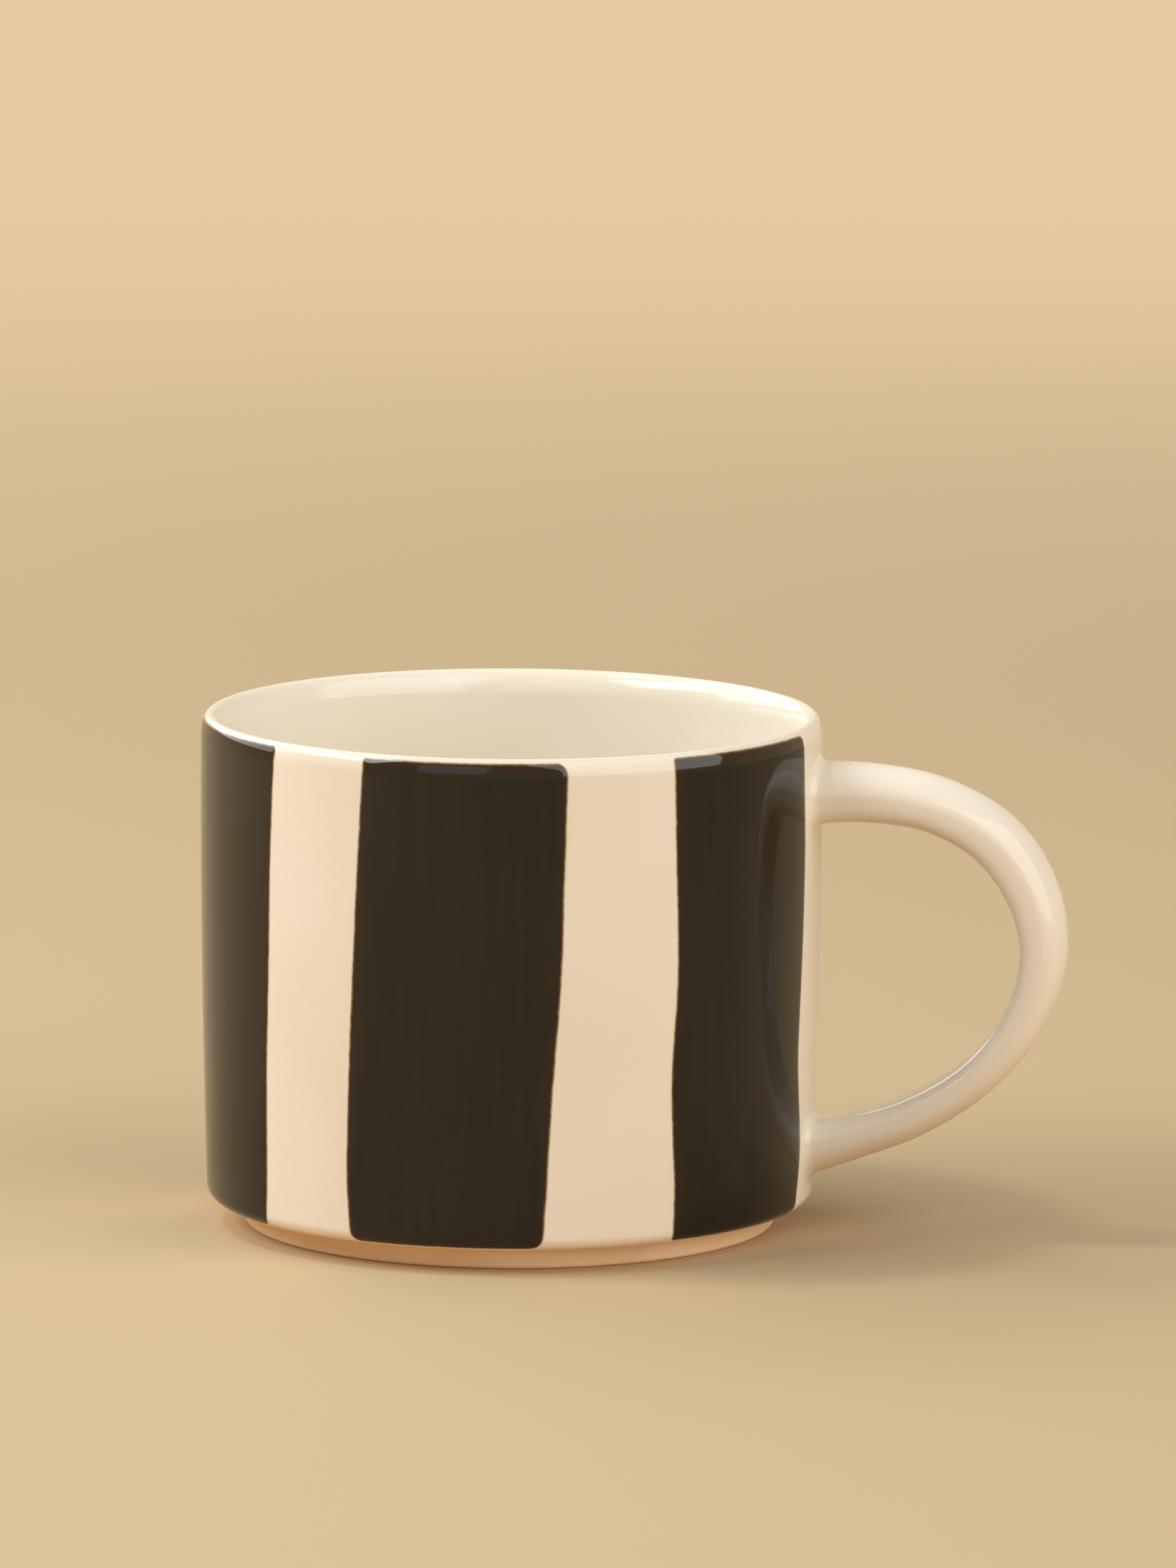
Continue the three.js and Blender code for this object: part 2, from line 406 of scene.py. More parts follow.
@dataclass(frozen=True)
class Finish:
    """What every finish on the mug has: a name and a shader with its own sockets."""

    name: str

    def start(self) -> tuple[bpy.types.Material, Board, bpy.types.Node]:
        """Starts a node material.

        Returns:
            The material, a board on its tree, and its Principled shader.
        """
        material = bpy.data.materials.new(self.name)
        material.use_nodes = True
        board = Board(material.node_tree)
        board.tree.nodes.clear()
        shader = board.add("ShaderNodeBsdfPrincipled")
        board.add("ShaderNodeOutputMaterial", {"Surface": shader.outputs["BSDF"]})
        return material, board, shader

    def place(self, board: Board) -> bpy.types.NodeSocket:
        """Gives the piece's own coordinates, in metres."""
        return board.add("ShaderNodeTexCoord").outputs["Object"]

    def grouped(self, board: Board, tree: bpy.types.NodeTree, inputs: dict) -> bpy.types.Node:
        """Places a shared effect.

        Args:
            board: Where it goes.
            tree: The effect's group.
            inputs: Its inputs by name.

        Returns:
            The group node.
        """
        node = board.add("ShaderNodeGroup", node_tree=tree)
        for label, value in inputs.items():
            board.feed(node.inputs[label], value)
        return node


    def bump(
        self, board: Board, shader: bpy.types.Node, height: bpy.types.NodeSocket, depth: float
    ) -> None:
        """Gives the shader its small relief.

        Args:
            board: The material's board.
            shader: Its Principled shader.
            height: The relief, from about 0 to 1.
            depth: How deep 1 is, in millimetres.
        """
        node = board.add("ShaderNodeBump", {"Strength": 1.0, "Distance": depth * MM, "Height": height})
        board.feed(shader.inputs["Normal"], node.outputs["Normal"])


@dataclass(frozen=True)
class CreamGlaze(Finish):
    """Warm cream glaze with a soft gloss, over pale clay."""

    colour: Colour = (241, 229, 209)
    pooled: Colour = (238, 224, 200)
    speck: Colour = (205, 180, 145)
    roughness: float = 0.13
    index: float = 1.5
    ripple_height: float = 0.004
    speck_strength: float = 0.5

    def material(self, effects: Effects) -> bpy.types.Material:
        """Builds the glaze.

        Args:
            effects: The shared node groups.

        Returns:
            The material.
        """
        material, board, shader = self.start()
        place = self.place(board)
        peel = self.grouped(board, effects.peel, {"Place": place})
        specks = self.grouped(
            board, effects.specks, {"Place": place, "Cells per metre": 330.0, "Radius": 0.05, "Share": 0.12}
        )
        glaze = board.blend(peel.outputs["Shade"], linear(self.colour), linear(self.pooled))
        faint = board.math("MULTIPLY", specks.outputs["Mask"], self.speck_strength)
        board.feed(shader.inputs["Base Color"], board.blend(faint, glaze, linear(self.speck)))
        self.bump(board, shader, peel.outputs["Height"], self.ripple_height)
        shader.inputs["Roughness"].default_value = self.roughness
        shader.inputs["IOR"].default_value = self.index
        return material


@dataclass(frozen=True)
class DarkSlip(Finish):
    """Near-black slip laid on with a brush, under the clear glaze. Its rim thins to brown."""

    ground: Colour = (240, 228, 205)
    rim: Colour = (130, 94, 57)
    soaked: Colour = (29, 15, 5)
    thin: Colour = (22, 11, 3)
    full: Colour = (10, 5, 2)
    speck: Colour = (120, 98, 68)
    roughness: float = 0.05
    index: float = 1.5
    ripple_height: float = 0.004
    grain_jitter: float = 0.16
    ragged_jitter: float = 0.3
    jitter_fade: float = 0.35
    soak_wander: float = 4.0
    bare_edge: tuple[float, float] = (0.0, 0.4)
    bled_edge: tuple[float, float] = (0.2, 0.66)
    soaked_edge: tuple[float, float] = (0.5, 2.6)
    speck_strength: float = 0.55

    def material(self, effects: Effects) -> bpy.types.Material:
        """Builds the slip.

        Args:
            effects: The shared node groups.

        Returns:
            The material.
        """
        material, board, shader = self.start()
        place = self.place(board)
        lay = board.add("ShaderNodeAttribute", attribute_name="lay").outputs["Vector"]
        depth = board.add("ShaderNodeAttribute", attribute_name="rim_depth").outputs["Fac"]
        peel = self.grouped(board, effects.peel, {"Place": place})
        brushed = self.grouped(board, effects.brushed, {"Lay": lay})
        specks = self.grouped(
            board, effects.specks, {"Place": place, "Cells per metre": 520.0, "Radius": 0.05, "Share": 0.14}
        )
        grain, ragged, slow = (
            board.math("SUBTRACT", board.noise(place, per_metre, detail), 0.5)
            for per_metre, detail in ((3800.0, 1.0), (650.0, 2.0), (95.0, 1.0))
        )
        torn = board.math("MULTIPLY", ragged, self.ragged_jitter)
        jitter = board.math("MULTIPLY_ADD", grain, self.grain_jitter, torn)
        inside = board.ramp_between(depth, 0.0, self.jitter_fade)
        edge = board.math("MULTIPLY_ADD", jitter, inside, depth)
        reach = board.math("MULTIPLY_ADD", slow, self.soak_wander, edge)
        strokes = board.blend(brushed.outputs["Thickness"], linear(self.thin), linear(self.full))
        worn = board.blend(board.ramp_between(reach, *self.soaked_edge), linear(self.soaked), strokes)
        bled = board.blend(board.ramp_between(edge, *self.bled_edge), linear(self.rim), worn)
        painted = board.blend(board.ramp_between(edge, *self.bare_edge), linear(self.ground), bled)
        faint = board.math("MULTIPLY", specks.outputs["Mask"], self.speck_strength)
        board.feed(shader.inputs["Base Color"], board.blend(faint, painted, linear(self.speck)))
        self.bump(board, shader, peel.outputs["Height"], self.ripple_height)
        shader.inputs["Roughness"].default_value = self.roughness
        shader.inputs["IOR"].default_value = self.index
        return material


@dataclass(frozen=True)
class BareClay(Finish):
    """Unglazed stoneware: fine sandy grain and a few pinholes, darkened inside with painted shade."""

    colour: Colour = (250, 219, 174)
    worn: Colour = (243, 206, 157)
    # painted shade: the dark colour in each pinhole stands in for the shade inside the pit
    pinhole_shade: Colour = (92, 62, 40)
    roughness: float = 0.62
    roughness_swing: float = 0.2
    index: float = 1.45
    grain_height: float = 0.012
    sandiness: float = 0.35
    pinhole_strength: float = 1.6
    pinhole_depth: float = 3.0

    def material(self, effects: Effects) -> bpy.types.Material:
        """Builds the clay.

        Args:
            effects: The shared node groups.

        Returns:
            The material.
        """
        material, board, shader = self.start()
        place = self.place(board)
        peel = self.grouped(board, effects.peel, {"Place": place, "Pooling per metre": 60.0})
        holes = self.grouped(
            board, effects.specks, {"Place": place, "Cells per metre": 420.0, "Radius": 0.07, "Share": 0.08}
        )
        grain = board.noise(place, 2600.0, 3.0)
        body = board.blend(peel.outputs["Shade"], linear(self.colour), linear(self.worn))
        sandy = board.blend(board.math("MULTIPLY", grain, self.sandiness), body, linear(self.worn))
        # the pinhole mask fills each pit with painted shade, and below it dents the pit with the bump
        hole = board.math("MULTIPLY", holes.outputs["Mask"], self.pinhole_strength, clamp=True)
        board.feed(shader.inputs["Base Color"], board.blend(hole, sandy, linear(self.pinhole_shade)))
        smoothest = self.roughness - self.roughness_swing / 2
        rough = board.math("MULTIPLY_ADD", grain, self.roughness_swing, smoothest)
        board.feed(shader.inputs["Roughness"], rough)
        height = board.math("SUBTRACT", grain, board.math("MULTIPLY", hole, self.pinhole_depth))
        self.bump(board, shader, height, self.grain_height)
        shader.inputs["IOR"].default_value = self.index
        return material


@dataclass(frozen=True)
class PaleFloor(Finish):
    """Plain pale floor, which fades into the backdrop away from the mug."""

    colour: Colour = (203, 175, 136)
    bounce: Colour = (210, 169, 122)
    backdrop: Colour = (230, 202, 162)
    roughness: float = 0.6
    fade: tuple[float, float] = (0.4, 1.5)

    def material(self) -> bpy.types.Material:
        """Builds the floor's finish.

        Returns:
            The material.
        """
        material, board, shader = self.start()
        place = self.place(board)
        seen = seen_directly(board)
        board.feed(shader.inputs["Base Color"], board.blend(seen, linear(self.bounce), linear(self.colour)))
        shader.inputs["Roughness"].default_value = self.roughness
        shader.inputs["Specular IOR Level"].default_value = 0.0
        away = board.add("ShaderNodeVectorMath", {0: place}, operation="LENGTH").outputs["Value"]
        far = board.ramp_between(away, *self.fade)
        glow = board.add("ShaderNodeEmission", {"Color": linear(self.backdrop), "Strength": 1.0})
        mixed = board.add(
            "ShaderNodeMixShader",
            {0: board.math("MULTIPLY", far, seen), 1: shader.outputs[0], 2: glow.outputs[0]},
        )
        output = next(n for n in board.tree.nodes if n.bl_idname == "ShaderNodeOutputMaterial")
        board.feed(output.inputs["Surface"], mixed.outputs[0])
        return material


def seen_directly(board: Board) -> bpy.types.NodeSocket:
    """Tells rays of the camera, and those that the mug mirrors, from rays that light the mug.

    Args:
        board: The tree that asks.

    Returns:
        A socket that is 1 for such a ray and 0 otherwise.
    """
    rays = board.add("ShaderNodeLightPath").outputs
    mirrored = board.math("ADD", rays["Is Glossy Ray"], rays["Is Transmission Ray"])
    return board.math("ADD", rays["Is Camera Ray"], mirrored, clamp=True)


def settle(piece: bpy.types.Object) -> None:
    """Turns a piece and its modifiers into one plain mesh.

    Args:
        piece: The piece, whose modifiers are removed.
    """
    graph = bpy.context.evaluated_depsgraph_get()
    mesh = bpy.data.meshes.new_from_object(
        piece.evaluated_get(graph), preserve_all_data_layers=True, depsgraph=graph
    )
    raw = piece.data
    piece.modifiers.clear()
    piece.data = mesh
    mesh.name = piece.name
    bpy.data.meshes.remove(raw)


def turn_out(mesh: bpy.types.Mesh) -> None:
    """Makes all faces of a closed mesh point outwards.

    Args:
        mesh: The mesh, which is changed in place.
    """
    work = bmesh.new()
    work.from_mesh(mesh)
    bmesh.ops.recalc_face_normals(work, faces=work.faces)
    if work.calc_volume(signed=True) < 0:
        bmesh.ops.reverse_faces(work, faces=work.faces)
    work.to_mesh(mesh)
    work.free()


def new_piece(name: str, mesh: bpy.types.Mesh) -> bpy.types.Object:
    """Puts a mesh in the scene as an object at the origin.

    Args:
        name: The piece's name.
        mesh: Its mesh.

    Returns:
        The piece.
    """
    piece = bpy.data.objects.new(name, mesh)
    bpy.context.scene.collection.objects.link(piece)
    return piece


def hand_over(piece: bpy.types.Object, slot: Slot, *nodes: str) -> None:
    """Joins a finished piece to the frame and reports it.

    Args:
        piece: The piece, final and in place.
        slot: The record's slot for its finish; not used.
        *nodes: The frame's nodes that it stands for.
    """
    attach(piece, BODY)
    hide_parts(*nodes)
    low, high = (Vector(c) for c in (piece.bound_box[0], piece.bound_box[6]))
    size = [round(v / MM, 1) for v in high - low]
    LOG.info("%s: %d faces, %s mm", piece.name, len(piece.data.polygons), size)


@dataclass
class CupShape:
    """The cup's section. Radii and heights are millimetres from the cup's axis and the table."""

    axis_x: float
    radius: float
    height: float
    underside: float
    widest_at: float = 67.0
    bow: float = 2.7e-4
    lip_out: tuple[float, float] = (1.3, 3.2)
    lip_in: tuple[float, float] = (2.1, 4.0)
    corner: tuple[float, float] = (2.4, 2.2)
    floor_top: float = 8.8
    floor_fillet: float = 7.0
    floor_dish: float = 0.35
    draft: float = 0.75
    recess_top: float = 4.9
    recess_radius: float = 34.6
    recess_fillet: float = 0.9

    @classmethod
    def from_frame(cls) -> "CupShape":
        """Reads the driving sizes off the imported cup.

        Returns:
            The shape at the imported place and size.
        """
        low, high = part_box("cup_body")
        return cls(
            axis_x=(low.x + high.x) / 2 / MM,
            radius=(high.x - low.x) / 2 / MM,
            height=high.z / MM,
            underside=low.z / MM,
        )

    def wall_radius(self, z: np.ndarray | float) -> np.ndarray | float:
        """Gives the outer radius of the wall at a height."""
        return self.radius - self.bow * (z - self.widest_at) ** 2

    def inner_radius(self, z: np.ndarray | float) -> np.ndarray | float:
        """Gives the inner radius of the wall, which thickens towards the floor.

        Args:
            z: Height, or heights.

        Returns:
            The radius at each height.
        """
        top = self.height - self.lip_in[1]
        wall = self.lip_out[0] + self.lip_in[0]
        return self.wall_radius(z) - wall - self.draft * (top - z) / top

    def outside(self) -> np.ndarray:
        """Traces the outside from the lower corner to the top of the lip.

        Returns:
            Radius and height of each point.
        """
        wide, tall = self.corner
        corner_top = self.underside + tall
        angles = np.radians(np.linspace(-90, 0, 17))
        low = np.column_stack(
            (self.wall_radius(corner_top) - wide + wide * np.cos(angles), corner_top + tall * np.sin(angles))
        )
        lip_base = self.height - self.lip_out[1]
        z = np.linspace(corner_top, lip_base, 72)[1:]
        wall = np.column_stack((self.wall_radius(z), z))
        angles = np.radians(np.linspace(0, 90, 19))[1:]
        inset = self.wall_radius(lip_base) - self.lip_out[0]
        lip = np.column_stack(
            (inset + self.lip_out[0] * np.cos(angles), lip_base + self.lip_out[1] * np.sin(angles))
        )
        return np.vstack((low, wall, lip))

    def inside(self) -> np.ndarray:
        """Traces the inside from just past the top of the lip to the middle of the floor.

        Returns:
            Radius and height of each point.
        """
        lip_top = self.wall_radius(self.height - self.lip_out[1]) - self.lip_out[0]
        base = self.height - self.lip_in[1]
        angles = np.radians(np.linspace(90, 180, 27))[1:]
        shrink = (lip_top - self.inner_radius(base)) / self.lip_in[0]
        lip = np.column_stack(
            (lip_top + shrink * self.lip_in[0] * np.cos(angles), base + self.lip_in[1] * np.sin(angles))
        )
        fillet_top = self.floor_top + self.floor_fillet
        z = np.linspace(base, fillet_top, 48)[1:]
        wall = np.column_stack((self.inner_radius(z), z))
        middle = self.inner_radius(fillet_top) - self.floor_fillet
        angles = np.radians(np.linspace(0, -90, 19))[1:]
        curve = np.column_stack(
            (middle + self.floor_fillet * np.cos(angles), fillet_top + self.floor_fillet * np.sin(angles))
        )
        r = np.linspace(middle, 0, 20)[1:]
        floor = np.column_stack((r, self.floor_top - self.floor_dish * (1 - (r / middle) ** 2)))
        return np.vstack((lip, wall, curve, floor))

    def beneath(self) -> np.ndarray:
        """Traces the underside from the middle out to the start of the lower corner.

        Returns:
            Radius and height of each point.
        """
        r = np.linspace(0, self.recess_radius - self.recess_fillet, 12)
        roof = np.column_stack((r, np.full_like(r, self.recess_top)))
        angles = np.radians(np.linspace(90, 0, 7))[1:]
        drop = self.recess_top - self.underside
        turn = np.column_stack(
            (r[-1] + self.recess_fillet * np.cos(angles), self.underside + drop * np.sin(angles))
        )
        start = self.wall_radius(self.underside + self.corner[1]) - self.corner[0]
        land = np.linspace(self.recess_radius, start, 6)[1:-1]
        flat = np.column_stack((land, np.full_like(land, self.underside)))
        return np.vstack((roof, turn, flat))


class TurnedPiece:
    """A solid of revolution about the cup's axis, made by a node tree from its section."""

    tree: bpy.types.NodeTree | None = None

    @classmethod
    def wheel(cls) -> bpy.types.NodeTree:
        """Builds the tree that spins a section, once.

        Returns:
            The geometry node group.
        """
        if cls.tree is None:
            cls.tree = cls._build_wheel()
        return cls.tree

    @staticmethod
    def _build_wheel() -> bpy.types.NodeTree:
        """Lays a grid of section points by turns, wraps it round the axis and closes it.

        Returns:
            The geometry node group.
        """
        board = new_group(
            "potter's wheel",
            "GeometryNodeTree",
            {
                "Section": ("NodeSocketGeometry", None),
                "Turns": ("NodeSocketInt", 64),
                "Axis X": ("NodeSocketFloat", 0.0),
                "Finish": ("NodeSocketMaterial", None),
            },
            {"Piece": "NodeSocketGeometry"},
        )
        start, end = ends_of(board)
        section = start.outputs["Section"]
        count = board.add("GeometryNodeAttributeDomainSize", {"Geometry": section}, component="MESH")
        around = board.math("ADD", start.outputs["Turns"], 1)
        grid = board.add(
            "GeometryNodeMeshGrid", {"Vertices X": count.outputs["Point Count"], "Vertices Y": around}
        )
        index = board.add("GeometryNodeInputIndex").outputs[0]
        row = board.math("FLOOR", board.math("DIVIDE", board.math("ADD", index, 0.5), around))
        turn = board.math("DIVIDE", board.math("MODULO", index, around), start.outputs["Turns"])
        point = board.add(
            "GeometryNodeSampleIndex",
            {"Geometry": section, "Value": board.add("GeometryNodeInputPosition").outputs[0], "Index": row},
            data_type="FLOAT_VECTOR",
            domain="POINT",
        )
        travel = board.add(
            "GeometryNodeSampleIndex",
            {
                "Geometry": section,
                "Value": board.add(
                    "GeometryNodeInputNamedAttribute", {"Name": "travel"}, data_type="FLOAT"
                ).outputs[0],
                "Index": row,
            },
            data_type="FLOAT",
            domain="POINT",
        )
        split = board.add("ShaderNodeSeparateXYZ", {"Vector": point.outputs[0]})
        angle = board.math("MULTIPLY", turn, math.tau)
        radius = split.outputs["X"]
        x = board.math("MULTIPLY_ADD", radius, board.math("COSINE", angle), start.outputs["Axis X"])
        y = board.math("MULTIPLY", radius, board.math("SINE", angle))
        unwrap = board.vector(turn, travel.outputs[0], 0.0)
        marked = board.store(grid.outputs["Mesh"], BAKE_UV, unwrap, "FLOAT2", "CORNER")
        place = board.vector(x, y, split.outputs["Z"])
        spun = board.add("GeometryNodeSetPosition", {"Geometry": marked, "Position": place})
        closed = board.add(
            "GeometryNodeMergeByDistance", {"Geometry": spun.outputs["Geometry"], "Distance": SEAM_WELD}
        )
        soft = board.add("GeometryNodeSetShadeSmooth", {"Geometry": closed.outputs["Geometry"]})
        board.feed(end.inputs["Piece"], board.dress(soft.outputs["Geometry"], start.outputs["Finish"]))
        return board.tree

    def __init__(
        self, name: str, section: np.ndarray, axis_x: float, turns: int, finish: bpy.types.Material
    ) -> None:
        """Makes the piece.

        Args:
            name: The piece's name.
            section: Radius and height of the section's points, in millimetres.
            axis_x: Where the cup's axis stands, in millimetres.
            turns: Facets round the axis.
            finish: Its material.
        """
        travel = travelled(section)
        travel /= travel[-1]
        mesh = bpy.data.meshes.new(name)
        mesh.from_pydata([(r * MM, 0.0, z * MM) for r, z in section], [], [])
        mesh.attributes.new("travel", "FLOAT", "POINT").data.foreach_set("value", travel.astype(np.float32))
        self.piece = new_piece(name, mesh)
        set_inputs(
            self.piece, self.wheel(), {"Turns": turns, "Axis X": axis_x * MM, "Finish": finish}
        )
        settle(self.piece)
        turn_out(self.piece.data)


def set_inputs(piece: bpy.types.Object, tree: bpy.types.NodeTree, values: dict[str, object]) -> None:
    """Puts a geometry node tree on a piece and sets its named inputs.

    Args:
        piece: The object that carries the tree.
        tree: The geometry node group.
        values: Input values by name.
    """
    modifier = piece.modifiers.new(tree.name, "NODES")
    modifier.node_group = tree
    sockets = {item.name: item.identifier for item in tree.interface.items_tree if item.in_out == "INPUT"}
    for label, value in values.items():
        modifier[sockets[label]] = value


@dataclass
class Cup:
    """The turned cup and the foot ring under it."""

    shape: CupShape
    foot_bevel: float = 0.7
    foot_cove: float = 0.5
    foot_bury: float = 0.06
    ring_width: float = 5.5
    turns: int = 256

    def foot_section(self) -> np.ndarray:
        """Traces the ring: up its inside, down its outside, round its softened tread.

        Returns:
            Radius and height of each point, closed on the first one.
        """
        _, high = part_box("foot_ring")
        outer = high.x / MM - self.shape.axis_x
        inner = outer - self.ring_width
        top = self.shape.underside + self.foot_bury
        bevel = self.foot_bevel
        quarter = np.radians(np.linspace(0, 90, 7))
        points = [(inner, top), (inner, (top + bevel) / 2)]
        points += [(inner + bevel * (1 - math.cos(a)), bevel * (1 - math.sin(a))) for a in quarter]
        points += [(outer - bevel * (1 - math.sin(a)), bevel * (1 - math.cos(a))) for a in quarter]
        cove = self.foot_cove
        foot = top - cove
        points += [(outer, (foot + bevel) / 2)]
        points += [(outer + cove * (1 - math.cos(a)), foot + cove * math.sin(a)) for a in quarter]
        points += [((inner + outer) / 2, top), (inner, top)]
        return np.array(points)

    def build(self, glaze: bpy.types.Material, clay: bpy.types.Material) -> None:
        """Turns both pieces and joins them to the frame.

        Args:
            glaze: Finish of the cup.
            clay: Finish of the foot ring.
        """
        shape = self.shape
        section = np.vstack((shape.beneath(), shape.outside(), shape.inside()))
        cup = TurnedPiece("glazed_cup", section, shape.axis_x, self.turns, glaze)
        hand_over(cup.piece, Slot.CREAM, "cup_body")
        foot = TurnedPiece("unglazed_foot", self.foot_section(), shape.axis_x, self.turns, clay)
        hand_over(foot.piece, Slot.CLAY, "foot_ring")


@dataclass(frozen=True)
class Station:
    """The handle's section at a fraction of its line, in millimetres."""

    at: float
    thick: float
    wide: float


@dataclass
class LoopHandle:
    """The pulled handle with its two roots worked into the wall.

    Its route is measured: distance from the cup's axis and height of its centre line.
    """

    shape: CupShape
    route: tuple[tuple[float, float], ...] = (
        (43, 68.1),
        (55, 68.8),
        (66.5, 67.1),
        (75.6, 62.1),
        (81.4, 53.8),
        (83.15, 44.6),
        (80.3, 34.4),
        (73.5, 25.4),
        (63.5, 18.7),
        (54, 15.2),
        (43, 11.9),
    )
    stations: tuple[Station, ...] = (
        Station(0.0, 9.6, 14.6),
        Station(0.2, 8.5, 12.8),
        Station(0.36, 8.4, 12.2),
        Station(0.5, 7.2, 11.8),
        Station(0.68, 6.2, 11.4),
        Station(0.82, 6.7, 11.6),
        Station(1.0, 8.6, 12.8),
    )
    outer_roundness: float = 2.0
    inner_roundness: float = 3.2
    fillet: float = 1.5
    skirt: float = 0.5
    bury: float = 1.0
    tuck: float = 0.03
    seat: float = 0.012
    around: int = 72
    along: int = 150
    fillet_rows: int = 9
    line: np.ndarray = field(init=False)
    lengths: np.ndarray = field(init=False)

    def __post_init__(self) -> None:
        """Traces the line that the section follows."""
        points = np.array(self.route, float)
        points = np.vstack((2 * points[0] - points[1], points, 2 * points[-1] - points[-2]))
        dense = [points[1]]
        for a, b, c, d in zip(points, points[1:], points[2:], points[3:]):
            gaps = [math.sqrt(np.linalg.norm(q - p)) for p, q in ((a, b), (b, c), (c, d))]
            start = ((b - a) / gaps[0] - (c - a) / (gaps[0] + gaps[1]) + (c - b) / gaps[1]) * gaps[1]
            stop = ((c - b) / gaps[1] - (d - b) / (gaps[1] + gaps[2]) + (d - c) / gaps[2]) * gaps[1]
            for t in np.linspace(0, 1, 41)[1:]:
                dense.append(
                    b * (2 * t**3 - 3 * t**2 + 1)
                    + start * (t**3 - 2 * t**2 + t)
                    + c * (3 * t**2 - 2 * t**3)
                    + stop * (t**3 - t**2)
                )
        self.line = np.array(dense)
        self.lengths = travelled(self.line)
        self.lengths /= self.lengths[-1]

    def skin(self, at: np.ndarray, turn: np.ndarray) -> tuple[np.ndarray, np.ndarray]:
        """Finds points on the handle's surface.

        Args:
            at: Fraction of the line at each point.
            turn: Angle round the section there, from its outer side, in radians.

        Returns:
            The points from the cup's axis, and the way out of the section at each.
        """
        centre = np.column_stack([np.interp(at, self.lengths, self.line[:, k]) for k in (0, 1)])
        step = 2e-3
        ahead, behind = (
            np.column_stack(
                [np.interp(np.clip(at + s, 0, 1), self.lengths, self.line[:, k]) for k in (0, 1)]
            )
            for s in (step, -step)
        )
        tangent = ahead - behind
        tangent /= np.linalg.norm(tangent, axis=1)[:, None]
        stops = [s.at for s in self.stations]
        thick = smooth_through(stops, [s.thick for s in self.stations], at)
        wide = smooth_through(stops, [s.wide for s in self.stations], at)
        cos, sin = np.cos(turn), np.sin(turn)
        power = 2 / np.where(cos > 0, self.outer_roundness, self.inner_roundness)
        rise = np.sign(cos) * np.abs(cos) ** power * thick / 2
        side = np.sign(sin) * np.abs(sin) ** power * wide / 2
        outward = np.column_stack((-tangent[:, 1], tangent[:, 0]))
        points = np.column_stack(
            (centre[:, 0] + outward[:, 0] * rise, side, centre[:, 1] + outward[:, 1] * rise)
        )
        lean = np.column_stack((outward[:, 0] * cos, sin, outward[:, 1] * cos))
        return points, lean

    def gap(self, points: np.ndarray) -> np.ndarray:
        """Measures how far points stand off the cup's wall."""
        return np.hypot(points[:, 0], points[:, 1]) - self.shape.wall_radius(points[:, 2])

    def leave_wall(self, turn: np.ndarray, distance: float, upper: bool) -> np.ndarray:
        """Finds where the surface stands a given distance off the wall.

        Args:
            turn: Angles round the section.
            distance: The distance, in millimetres.
            upper: Whether it is the upper root.

        Returns:
            The fraction of the line at each angle.
        """
        inside = np.full_like(turn, 0.0 if upper else 1.0)
        outside = np.full_like(turn, 0.3 if upper else 0.7)
        for _ in range(40):
            middle = (inside + outside) / 2
            points, _ = self.skin(middle, turn)
            past = self.gap(points) > distance
            outside = np.where(past, middle, outside)
            inside = np.where(past, inside, middle)
        return (inside + outside) / 2

    def on_wall(self, points: np.ndarray, distance: float) -> np.ndarray:
        """Moves points level, towards or from the axis, to a distance off the wall.

        Args:
            points: One row for each point.
            distance: How far from the wall they end, outwards.

        Returns:
            The points moved, in the same order.
        """
        reach = self.shape.wall_radius(points[:, 2]) + distance
        scale = reach / np.hypot(points[:, 0], points[:, 1])
        return np.column_stack((points[:, 0] * scale, points[:, 1] * scale, points[:, 2]))

    def root(self, turn: np.ndarray, upper: bool) -> list[np.ndarray]:
        """Makes the rings where one end of the handle spreads on to the wall.

        Args:
            turn: Angles round the section.
            upper: Whether it is the upper root.

        Returns:
            Rings from inside the wall out to the top of the fillet.
        """
        rings = []
        spread = self.fillet + self.skirt
        points, lean = self.skin(self.leave_wall(turn, 0.0, upper), turn)
        for depth in (self.bury, self.tuck):
            rings.append(self.on_wall(points + self.sideways(points, lean) * spread, -depth))
        for angle in np.radians(np.linspace(90, 0, self.fillet_rows, endpoint=False)):
            distance = self.seat + self.fillet * (1 - math.sin(angle))
            flare = self.fillet * (1 - math.cos(angle))
            points, lean = self.skin(self.leave_wall(turn, distance, upper), turn)
            rings.append(self.on_wall(points + self.sideways(points, lean) * flare, distance))
        return rings

    def sideways(self, points: np.ndarray, lean: np.ndarray) -> np.ndarray:
        """Takes the wall's own direction out of the way out of the section.

        Args:
            points: One row for each point of the section.
            lean: The way out of the section at each point.

        Returns:
            Unit vectors along the wall, one for each point.
        """
        radial = np.column_stack((points[:, 0], points[:, 1], np.zeros(len(points))))
        radial /= np.linalg.norm(radial, axis=1)[:, None]
        flat = lean - radial * (lean * radial).sum(axis=1)[:, None]
        return flat / np.linalg.norm(flat, axis=1)[:, None]

    def build(self, glaze: bpy.types.Material) -> None:
        """Skins the handle, buries its ends in the wall and joins it to the frame.

        Args:
            glaze: Its finish.
        """
        turn = np.linspace(0, math.tau, self.around, endpoint=False)
        rings = self.root(turn, True)
        first = self.leave_wall(turn, self.seat + self.fillet, True)
        last = self.leave_wall(turn, self.seat + self.fillet, False)
        for share in np.linspace(0, 1, self.along):
            rings.append(self.skin(first + (last - first) * share, turn)[0])
        rings += self.root(turn, False)[::-1]
        mesh = self.mesh_of(rings)
        piece = new_piece("pulled_handle", mesh)
        mesh.materials.append(glaze)
        hand_over(piece, Slot.CREAM, "handle", "handle_joint_upper", "handle_joint_lower")

